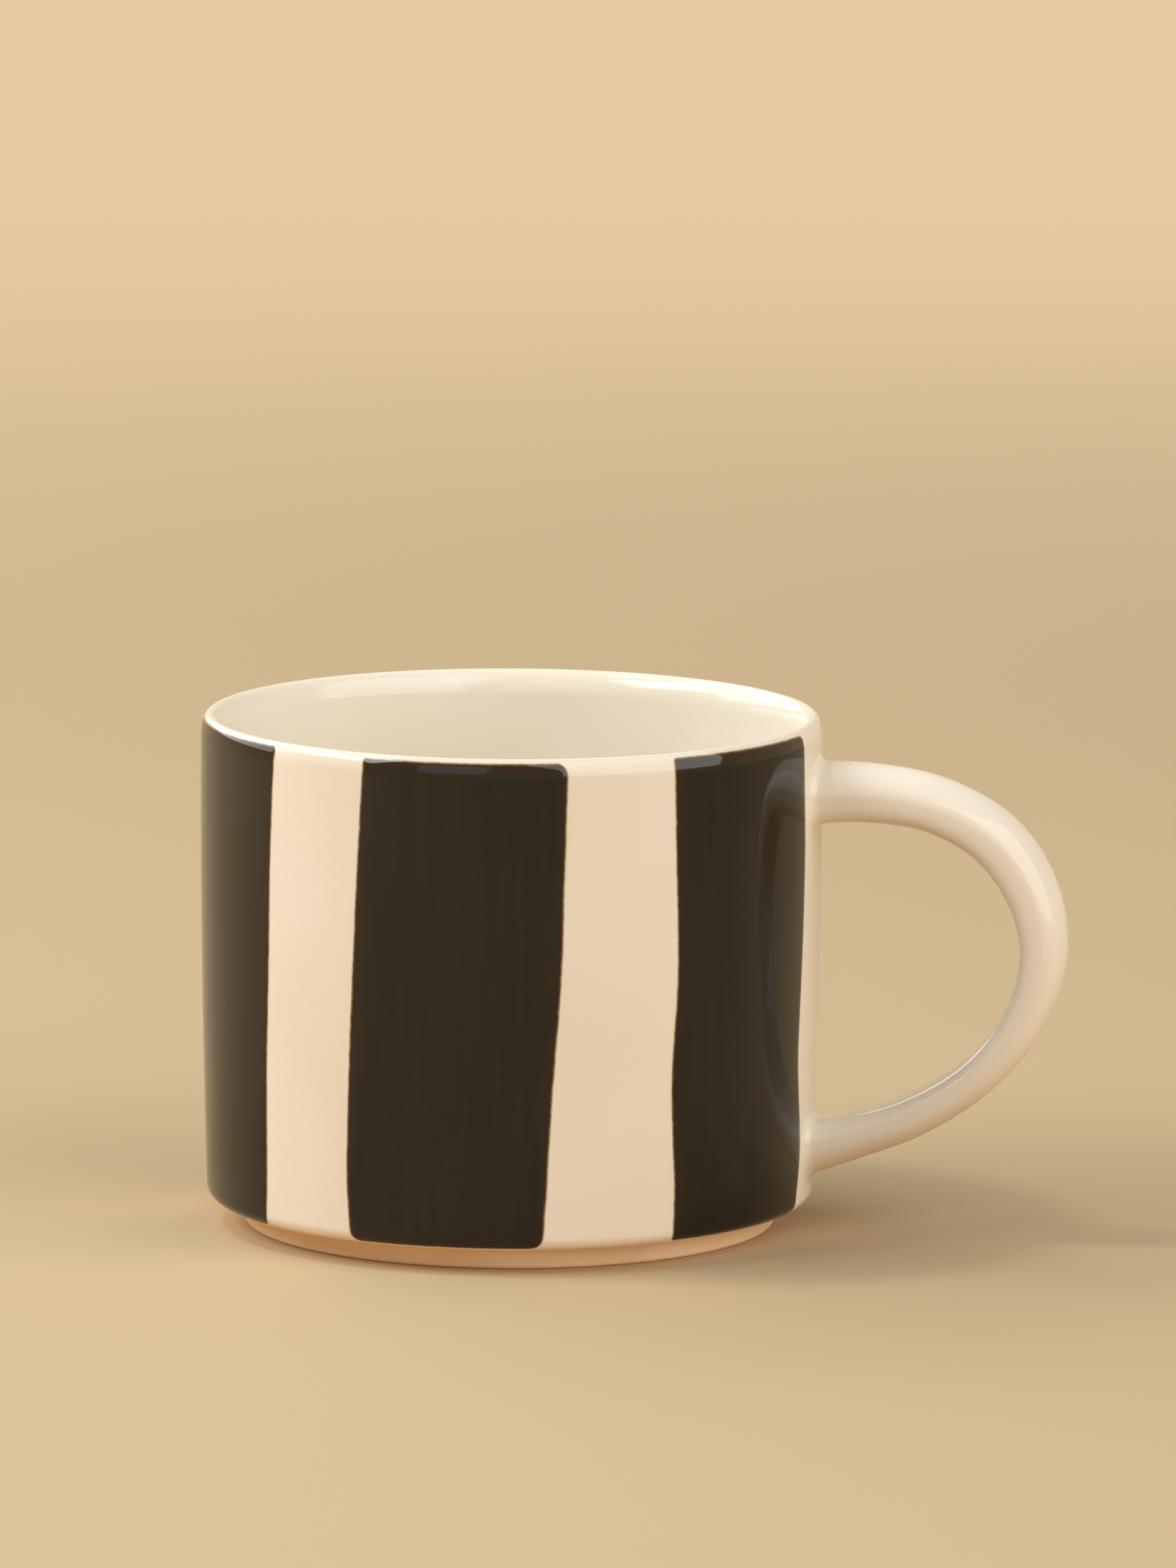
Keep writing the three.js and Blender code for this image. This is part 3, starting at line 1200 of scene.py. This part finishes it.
    def mesh_of(self, rings: list[np.ndarray]) -> bpy.types.Mesh:
        """Joins rings of points into one closed mesh.

        Args:
            rings: The rings in order, the same number of points in each.

        Returns:
            The mesh in its place, with its unwrap along and round the handle.
        """
        axis = np.array((self.shape.axis_x, 0, 0))
        points = [(p + axis) * MM for ring in rings for p in ring]
        points += [(rings[0].mean(axis=0) + axis) * MM, (rings[-1].mean(axis=0) + axis) * MM]
        n, rows = self.around, len(rings)
        faces = [
            (r * n + k, r * n + (k + 1) % n, (r + 1) * n + (k + 1) % n, (r + 1) * n + k)
            for r in range(rows - 1)
            for k in range(n)
        ]
        faces += [((k + 1) % n, k, rows * n) for k in range(n)]
        faces += [((rows - 1) * n + k, (rows - 1) * n + (k + 1) % n, rows * n + 1) for k in range(n)]
        mesh = bpy.data.meshes.new("pulled_handle")
        mesh.from_pydata([tuple(p) for p in points], [], faces)
        uv = mesh.uv_layers.new(name=BAKE_UV).data
        for face in mesh.polygons:
            self.unwrap(mesh, face, uv, rows)
        turn_out(mesh)
        mesh.shade_smooth()
        sharp = mesh.attributes.new("sharp_edge", "BOOLEAN", "EDGE")
        brims = {1, rows - 2}
        for edge in mesh.edges:
            a, b = (v // n for v in edge.vertices)
            sharp.data[edge.index].value = a == b and a in brims
        return mesh

    def unwrap(self, mesh: bpy.types.Mesh, face: bpy.types.MeshPolygon, uv: object, rows: int) -> None:
        """Lays one face of the handle on its unwrap.

        Args:
            mesh: The handle's mesh.
            face: The face.
            uv: The unwrap's data.
            rows: How many rings the mesh has.
        """
        n = self.around
        corners = [mesh.loops[i].vertex_index for i in face.loop_indices]
        wraps = any(v % n == n - 1 for v in corners) and any(v % n == 0 and v < rows * n for v in corners)
        for i, v in zip(face.loop_indices, corners):
            if v >= rows * n:
                uv[i].uv = (0.5, float(v - rows * n))
                continue
            across = 1.0 if wraps and v % n == 0 else (v % n) / n
            uv[i].uv = (across, 0.01 + 0.98 * (v // n) / (rows - 1))


@dataclass(frozen=True)
class BandEdges:
    """Outline of one band: bearings of its two edges at EDGE_HEIGHTS, and its corner radii.

    The bearings of the three front bands are measured, and rounded to half a degree.
    """

    node: str
    near: tuple[float, ...]
    far: tuple[float, ...]
    corners: tuple[float, float, float, float] = (1.1, 1.7, 0.9, 1.3)


EDGE_HEIGHTS = (5.0, 12.0, 28.0, 46.0, 62.0, 77.0)


@dataclass
class PaintedBands:
    """The six bands of slip, each a thin skin that follows the wall from its foot to its lip."""

    shape: CupShape
    bottom: float = 4.08
    top: float = 78.95
    proud: float = 0.05
    seat: float = 0.008
    soak: float = 0.04
    roll: float = 1.1
    across: int = 84
    wobble: float = 0.12
    feather: float = 0.15
    outlines: tuple[BandEdges, ...] = (
        BandEdges(
            "stripe_front_left",
            (-171.0, -170.5, -170.0, -170.0, -170.0, -170.0),
            (-132.5, -132.0, -131.5, -130.5, -130.0, -129.0),
        ),
        BandEdges(
            "stripe_front",
            (-111.5, -112.0, -111.5, -110.5, -109.5, -108.5),
            (-74.0, -73.5, -72.5, -71.0, -70.5, -70.0),
            (2.2, 2.6, 0.6, 2.2),
        ),
        BandEdges(
            "stripe_front_right",
            (-48.5, -48.5, -49.5, -48.5, -49.0, -49.5),
            (-11.0, -9.5, -12.0, -11.0, -10.5, -11.5),
        ),
        BandEdges(
            "stripe_back_right",
            (10.5, 10.0, 11.0, 11.5, 12.0, 11.5),
            (48.0, 48.5, 49.0, 49.0, 50.0, 50.5),
        ),
        BandEdges(
            "stripe_back",
            (70.0, 70.5, 71.0, 71.5, 72.0, 72.5),
            (108.5, 109.0, 109.5, 110.0, 111.0, 111.0),
        ),
        BandEdges(
            "stripe_back_left",
            (131.5, 131.0, 130.5, 130.0, 129.5, 129.5),
            (169.5, 169.0, 168.5, 168.0, 167.5, 168.0),
        ),
    )

    def run(self) -> np.ndarray:
        """Picks the stretch of the cup's outside that the bands cover, fine at both ends.

        Returns:
            Radius and height of each point.
        """
        outside = self.shape.outside()
        travel = travelled(outside)
        rising = outside[:, 1]
        low, high = np.interp((self.bottom, self.top), rising, travel)
        share = np.linspace(0, 1, 120)
        eased = EVEN_SHARE * share + (1 - EVEN_SHARE) * (1 - np.cos(share * math.pi)) / 2
        at = low + (high - low) * eased
        return np.column_stack([np.interp(at, travel, outside[:, k]) for k in (0, 1)])

    @staticmethod
    def tree() -> bpy.types.NodeTree:
        """Builds the tree that lays one band on the wall.

        Returns:
            The geometry node group.
        """
        board = new_group(
            "band on the wall",
            "GeometryNodeTree",
            {
                "Run": ("NodeSocketGeometry", None),
                "Across": ("NodeSocketInt", 64),
                "Axis X": ("NodeSocketFloat", 0.0),
                "Seat": ("NodeSocketFloat", 0.0),
                "Proud": ("NodeSocketFloat", 0.0),
                "Soak": ("NodeSocketFloat", 0.0),
                "Roll": ("NodeSocketFloat", 0.001),
                "Wobble": ("NodeSocketFloat", 0.0),
                "Seed": ("NodeSocketFloat", 0.0),
                "Finish": ("NodeSocketMaterial", None),
            },
            {"Band": "NodeSocketGeometry"},
        )
        start, end = ends_of(board)
        run = start.outputs["Run"]
        count = board.add("GeometryNodeAttributeDomainSize", {"Geometry": run}, component="MESH")
        wide = board.math("ADD", start.outputs["Across"], 1)
        index = board.add("GeometryNodeInputIndex").outputs[0]
        row = board.math("FLOOR", board.math("DIVIDE", board.math("ADD", index, 0.5), wide))
        share = board.math("DIVIDE", board.math("MODULO", index, wide), start.outputs["Across"])
        wave = board.math("COSINE", board.math("MULTIPLY", share, math.pi))
        eased = board.math(
            "ADD",
            board.math("MULTIPLY", share, EVEN_SHARE),
            board.math("MULTIPLY", board.math("SUBTRACT", 1.0, wave), (1 - EVEN_SHARE) / 2),
        )

        def read(name: str, kind: str) -> bpy.types.NodeSocket:
            """Reads an attribute of the run at this grid point's row.

            Args:
                name: The attribute's name.
                kind: Its data type.

            Returns:
                The value at that row.
            """
            source = board.add("GeometryNodeInputNamedAttribute", {"Name": name}, data_type=kind)
            return board.add(
                "GeometryNodeSampleIndex",
                {"Geometry": run, "Value": source.outputs[0], "Index": row},
                data_type=kind,
                domain="POINT",
            ).outputs[0]

        place = board.add("ShaderNodeSeparateXYZ", {"Vector": read("position", "FLOAT_VECTOR")})
        out = board.add("ShaderNodeSeparateXYZ", {"Vector": read("outward", "FLOAT_VECTOR")})
        radius, height = place.outputs["X"], place.outputs["Z"]
        edges = []
        for name, shift in (("near", 0.0), ("far", 7.3)):
            seed = board.math("ADD", start.outputs["Seed"], shift)
            shake = board.add(
                "ShaderNodeTexNoise",
                {"Vector": board.vector(seed, 0.0, height), "Scale": 130.0, "Detail": 1.5, "Roughness": 0.4},
            )
            swing = board.math("SUBTRACT", shake.outputs["Fac"], 0.5)
            turn = board.math(
                "DIVIDE", board.math("MULTIPLY", swing, start.outputs["Wobble"]), radius
            )
            edges.append(board.math("ADD", read(name, "FLOAT"), turn))
        width = board.math("SUBTRACT", edges[1], edges[0])
        angle = board.math("MULTIPLY_ADD", width, eased, edges[0])
        to_side = board.math(
            "MULTIPLY",
            board.math("MINIMUM", eased, board.math("SUBTRACT", 1.0, eased)),
            board.math("MULTIPLY", width, radius),
        )
        depth = board.math("SMOOTH_MIN", to_side, read("end_gap", "FLOAT"), 0.3 * MM)
        depth = board.math("MAXIMUM", depth, 0.0)
        inner_share = board.math("MULTIPLY", eased, 0.07)
        shells = []
        for proud in (True, False):
            if proud:
                rise = board.ramp_between(board.math("DIVIDE", depth, start.outputs["Roll"]), 0.0, 1.0)
                lift = board.math("MULTIPLY_ADD", rise, start.outputs["Proud"], start.outputs["Seat"])
                across = board.math("MULTIPLY", eased, 0.9)
            else:
                rise = board.math("DIVIDE", depth, 0.2 * MM, clamp=True)
                drop = board.math("MULTIPLY", rise, start.outputs["Soak"])
                lift = board.math("SUBTRACT", start.outputs["Seat"], drop)
                across = board.math("ADD", inner_share, 0.92)
            reach = board.math("MULTIPLY_ADD", out.outputs["X"], lift, radius)
            x = board.math("MULTIPLY_ADD", reach, board.math("COSINE", angle), start.outputs["Axis X"])
            y = board.math("MULTIPLY", reach, board.math("SINE", angle))
            z = board.math("MULTIPLY_ADD", out.outputs["Z"], lift, height)
            grid = board.add(
                "GeometryNodeMeshGrid", {"Vertices X": count.outputs["Point Count"], "Vertices Y": wide}
            )
            sideways = board.math("MULTIPLY", board.math("MULTIPLY", angle, radius), 1 / MM)
            lay = board.vector(sideways, board.math("DIVIDE", height, MM), start.outputs["Seed"])
            unwrap = board.vector(across, read("travel", "FLOAT"), 0.0)
            skin = board.store(grid.outputs["Mesh"], BAKE_UV, unwrap, "FLOAT2", "CORNER")
            skin = board.store(skin, "rim_depth", board.math("DIVIDE", depth, MM), "FLOAT")
            skin = board.store(skin, "lay", lay, "FLOAT_VECTOR")
            shell = board.add(
                "GeometryNodeSetPosition", {"Geometry": skin, "Position": board.vector(x, y, z)}
            ).outputs["Geometry"]
            if not proud:
                shell = board.add("GeometryNodeFlipFaces", {"Mesh": shell}).outputs["Mesh"]
            shells.append(shell)
        joined = board.add("GeometryNodeJoinGeometry")
        for shell in shells:
            board.feed(joined.inputs[0], shell)
        closed = board.add(
            "GeometryNodeMergeByDistance", {"Geometry": joined.outputs["Geometry"], "Distance": SKIN_WELD}
        )
        soft = board.add("GeometryNodeSetShadeSmooth", {"Geometry": closed.outputs["Geometry"]})
        fold = board.math(
            "GREATER_THAN", board.add("GeometryNodeInputMeshEdgeAngle").outputs["Unsigned Angle"], 1.0
        )
        creased = board.add(
            "GeometryNodeSetShadeSmooth",
            {"Geometry": soft.outputs["Geometry"], "Selection": fold, "Shade Smooth": False},
            domain="EDGE",
        )
        board.feed(end.inputs["Band"], board.dress(creased.outputs["Geometry"], start.outputs["Finish"]))
        return board.tree

    def run_mesh(self, outline: BandEdges, run: np.ndarray) -> bpy.types.Mesh:
        """Puts a band's outline on the run of wall that it follows.

        Args:
            outline: The band's edges.
            run: Radius and height along the wall.

        Returns:
            A mesh of bare points that carry what the tree reads.
        """
        z = run[:, 1]
        travel = travelled(run)
        along = np.gradient(run, axis=0)
        along /= np.linalg.norm(along, axis=1)[:, None]
        sides = {"near": outline.near, "far": outline.far}
        low_near, low_far, high_near, high_far = outline.corners
        radii = {"near": (low_near, high_near), "far": (low_far, high_far)}
        mesh = bpy.data.meshes.new(outline.node)
        mesh.from_pydata([(r * MM, 0.0, h * MM) for r, h in run], [], [])
        for name, bearings in sides.items():
            edge = np.radians(smooth_through(list(EDGE_HEIGHTS), list(bearings), z))
            inward = 1 if name == "near" else -1
            edge -= inward * self.feather / run[:, 0]
            for radius, to_end in zip(radii[name], (travel, travel[-1] - travel)):
                short = np.clip(radius - to_end, 0, radius)
                edge += inward * (radius - np.sqrt(radius**2 - short**2)) / run[:, 0]
            self.mark(mesh, name, edge)
        self.mark(mesh, "end_gap", np.minimum(travel, travel[-1] - travel) * MM)
        self.mark(mesh, "travel", travel / travel[-1])
        outward = np.column_stack((along[:, 1], np.zeros(len(run)), -along[:, 0]))
        slot = mesh.attributes.new("outward", "FLOAT_VECTOR", "POINT")
        slot.data.foreach_set("vector", outward.astype(np.float32).ravel())
        return mesh

    @staticmethod
    def mark(mesh: bpy.types.Mesh, name: str, values: np.ndarray) -> None:
        """Stores one number on each point of a mesh."""
        mesh.attributes.new(name, "FLOAT", "POINT").data.foreach_set("value", values.astype(np.float32))

    def build(self, slip: bpy.types.Material) -> None:
        """Lays all the bands and joins them to the frame.

        Args:
            slip: Their finish.
        """
        tree = self.tree()
        run = self.run()
        for number, outline in enumerate(self.outlines):
            name = outline.node.replace("stripe", "brushed_band")
            piece = new_piece(name, self.run_mesh(outline, run))
            set_inputs(
                piece,
                tree,
                {
                    "Across": self.across,
                    "Axis X": self.shape.axis_x * MM,
                    "Seat": self.seat * MM,
                    "Proud": self.proud * MM,
                    "Soak": self.soak * MM,
                    "Roll": self.roll * MM,
                    "Wobble": 2 * self.wobble * MM,
                    "Seed": 3.7 * number,
                    "Finish": slip,
                },
            )
            settle(piece)
            turn_out(piece.data)
            hand_over(piece, Slot.SLIP, outline.node)


@dataclass(frozen=True)
class SoftBox:
    """An area lamp that looks at the mug. Bearing and height are its place as seen from there."""

    name: str
    bearing: float
    elevation: float
    distance: float
    wide: float
    tall: float
    power: float
    colour: Colour = (255, 255, 255)

    def place(self, target: Vector) -> None:
        """Hangs the lamp.

        Args:
            target: The point it looks at, in metres.
        """
        lamp = bpy.data.lights.new(self.name, "AREA")
        lamp.shape = "RECTANGLE"
        lamp.size, lamp.size_y = self.wide, self.tall
        lamp.energy = self.power
        lamp.color = linear(self.colour)[:3]
        holder = bpy.data.objects.new(self.name, lamp)
        bpy.context.scene.collection.objects.link(holder)
        turn, rise = math.radians(self.bearing), math.radians(self.elevation)
        away = Vector(
            (math.cos(turn) * math.cos(rise), math.sin(turn) * math.cos(rise), math.sin(rise))
        )
        holder.location = target + away * self.distance
        holder.rotation_euler = away.to_track_quat("Z", "Y").to_euler()


@dataclass
class Studio:
    """Floor, lamps, surrounding light and camera.

    The camera's place, aim and lens are the result of a fit to the mug's outline.
    """

    axis_x: float
    floor_reach: float = 4.0
    camera_bearing: float = -80.3
    camera_distance: float = 1.83144
    camera_height: float = 0.35737
    yaw: float = 0.00643
    pitch: float = 0.15654
    roll: float = 0.0057
    lens: float = 275.53
    sensor: float = 36.0
    ambient: Colour = (255, 252, 248)
    ambient_strength: float = 0.25
    # name, bearing, elevation, distance, width, height, watts, colour
    lamps: tuple[SoftBox, ...] = (
        SoftBox("key_softbox", -152.0, 37.0, 1.1, 0.66, 0.45, 6.3, (238, 248, 255)),
        SoftBox("high_lamp", -172.0, 65.0, 1.4, 0.16, 0.16, 3.2, (246, 250, 255)),
        SoftBox("window_left", 152.0, 33.0, 1.9, 2.4, 1.5, 26.5, (240, 249, 255)),
        SoftBox("fill_right", -28.5, 29.0, 1.9, 2.4, 1.9, 30.0, (246, 250, 253)),
        SoftBox("front_panel", -102.0, 21.5, 1.2, 0.52, 0.61, 0.6, (214, 230, 255)),
    )

    def floor(self) -> None:
        """Lays the floor as one wide round sheet."""
        work = bmesh.new()
        bmesh.ops.create_circle(work, cap_ends=True, radius=self.floor_reach, segments=96)
        mesh = bpy.data.meshes.new("studio_floor")
        work.to_mesh(mesh)
        work.free()
        mesh.materials.append(PaleFloor("pale floor").material())
        sheet = new_piece("studio_floor", mesh)

    def surround(self) -> None:
        """Lights the scene softly from all round."""
        world = bpy.data.worlds.new("studio")
        world.use_nodes = True
        board = Board(world.node_tree)
        board.tree.nodes.clear()
        soft = board.add(
            "ShaderNodeBackground", {"Color": linear(self.ambient), "Strength": self.ambient_strength}
        )
        backdrop = board.add("ShaderNodeBackground", {"Color": linear(PaleFloor.backdrop), "Strength": 1.0})
        mixed = board.add(
            "ShaderNodeMixShader", {0: seen_directly(board), 1: soft.outputs[0], 2: backdrop.outputs[0]}
        )
        board.add("ShaderNodeOutputWorld", {"Surface": mixed.outputs[0]})
        bpy.context.scene.world = world

    def camera(self) -> None:
        """Sets the camera: a long lens, a little above the rim."""
        data = bpy.data.cameras.new("camera")
        data.lens = self.lens
        data.sensor_width = self.sensor
        data.clip_end = 50.0
        camera = bpy.data.objects.new("camera", data)
        bpy.context.scene.collection.objects.link(camera)
        up_tilt, side = self.pitch, self.yaw
        ahead = Vector(
            (math.sin(side) * math.cos(up_tilt), math.cos(side) * math.cos(up_tilt), -math.sin(up_tilt))
        )
        right = Vector((math.cos(side), -math.sin(side), 0.0))
        up = right.cross(ahead)
        rolled_right = right * math.cos(self.roll) + up * math.sin(self.roll)
        rolled_up = up * math.cos(self.roll) - right * math.sin(self.roll)
        facing = Matrix((rolled_right, rolled_up, -ahead)).transposed().to_4x4()
        about_axis = Matrix.Rotation(math.radians(self.camera_bearing + 90), 4, "Z")
        stand = Matrix.Translation((0.0, -self.camera_distance, self.camera_height))
        axis = Matrix.Translation((self.axis_x * MM, 0.0, 0.0))
        camera.matrix_world = axis @ about_axis @ stand @ facing
        bpy.context.scene.camera = camera

    def build(self, target: Vector) -> None:
        """Sets up everything round the mug.

        Args:
            target: The point that the lamps look at, in metres.
        """
        self.floor()
        self.surround()
        for lamp in self.lamps:
            lamp.place(target)
        self.camera()
        bpy.context.scene.view_settings.view_transform = "Standard"


def main() -> None:
    """Builds the mug round its frame, then the studio, and logs the frame's node count and each piece's
    size.
    """
    logging.basicConfig(level=logging.INFO, format="%(name)s: %(message)s")
    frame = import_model()
    LOG.info("frame holds %d nodes", len(frame["nodes"]))
    effects = Effects()
    shape = CupShape.from_frame()
    cream = CreamGlaze("cream glaze").material(effects)
    clay = BareClay("bare clay").material(effects)
    slip = DarkSlip("dark slip").material(effects)
    Cup(shape).build(cream, clay)
    LoopHandle(shape).build(cream)
    PaintedBands(shape).build(slip)
    middle = Vector((shape.axis_x * MM, 0.0, shape.height / 2 * MM))
    Studio(shape.axis_x).build(middle)


if __name__ == "__main__":
    main()
